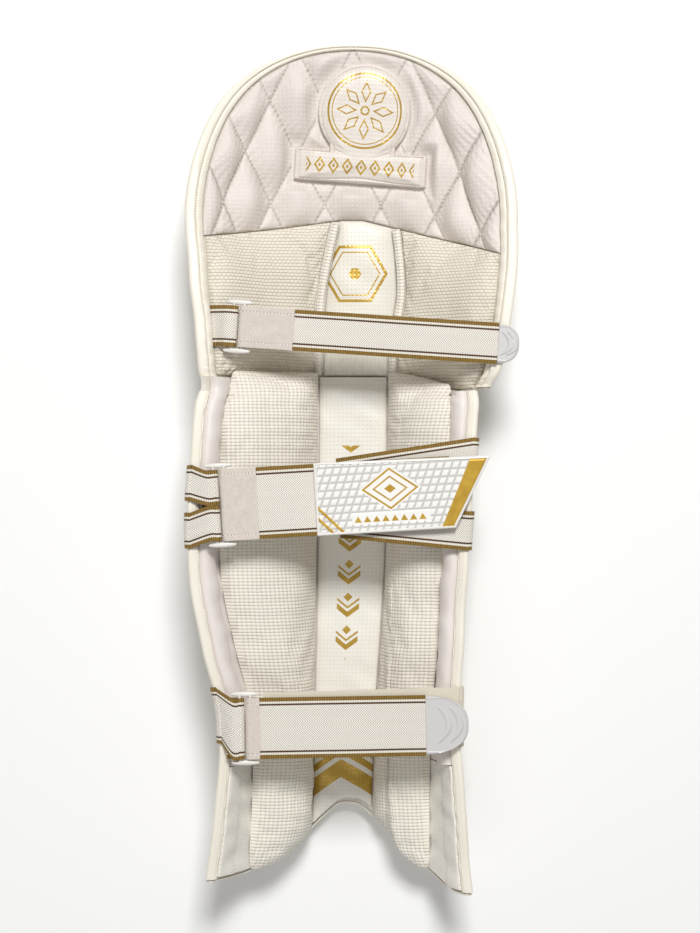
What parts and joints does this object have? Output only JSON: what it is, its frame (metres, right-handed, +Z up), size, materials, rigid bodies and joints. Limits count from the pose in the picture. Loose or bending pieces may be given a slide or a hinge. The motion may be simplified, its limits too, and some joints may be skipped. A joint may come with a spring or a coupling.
{
  "type": "batting pad",
  "caption": "Padded leg guard for a batter: ribbed shin shell, rounded top with quilted lining, knee rolls, bolsters and straps.",
  "frame": {"origin": "on the floor under the middle of the pad's box, with the pad lying on its face", "axes": "+X across the pad towards the strap ends, +Y along the pad from ankle to rounded top, +Z up out of the leg side"},
  "size_m": [0.2912, 0.7592, 0.1371],
  "materials": {
    "leatherette": "smooth coated cloth, low sheen",
    "quilted_leatherette": "coated cloth quilted over foam, soft sheen",
    "badge_leatherette": "dimpled coated cloth over foam",
    "spacer_mesh": "knitted spacer mesh, matte",
    "lining_cloth": "brushed lining, matte",
    "ankle_cloth": "twill mesh, matte",
    "channel_vinyl": "smooth white coated cloth over foam",
    "webbing": "herringbone webbing, matte",
    "sleeve_cloth": "brushed cloth, matte",
    "loop_cloth": "looped fastening cloth, matte",
    "white_nylon": "moulded nylon",
    "grey_rubber": "moulded soft rubber",
    "moulded_patch": "moulded soft plastic with raised relief"
  },
  "bodies": {
    "root": {"shin_face": "leatherette", "top_hat_face": "leatherette", "knee_roll_lower": "leatherette", "knee_roll_middle": "leatherette", "knee_roll_upper": "leatherette", "quilted_lining": "quilted_leatherette", "emblem_badge": "badge_leatherette", "knee_pad_left": "spacer_mesh", "knee_pad_right": "spacer_mesh", "knee_piping_left": "spacer_mesh", "knee_piping_right": "spacer_mesh", "knee_cup": "channel_vinyl", "channel_pad": "channel_vinyl", "ankle_lining": "ankle_cloth", "shin_lining": "lining_cloth", "bolster_left": "spacer_mesh", "bolster_right": "spacer_mesh", "edge_binding_left": "leatherette", "edge_binding_right": "leatherette", "edge_binding_top": "leatherette", "arch_tape": "leatherette", "strap_top_anchor": "webbing", "strap_top_ring": "white_nylon", "strap_top_sleeve": "sleeve_cloth", "strap_top_webbing": "webbing", "strap_top_tab": "grey_rubber", "strap_middle_anchor_upper": "webbing", "strap_middle_right_upper": "webbing", "strap_middle_anchor_lower": "webbing", "strap_middle_right_lower": "webbing", "strap_middle_ring": "white_nylon", "strap_middle_sleeve": "sleeve_cloth", "strap_middle_webbing": "webbing", "strap_middle_patch": "moulded_patch", "strap_bottom_anchor": "webbing", "strap_bottom_ring": "white_nylon", "strap_bottom_sleeve": "sleeve_cloth", "strap_bottom_webbing": "webbing", "strap_bottom_tab": "grey_rubber", "strap_bottom_band": "loop_cloth"}
  },
  "joints": []
}
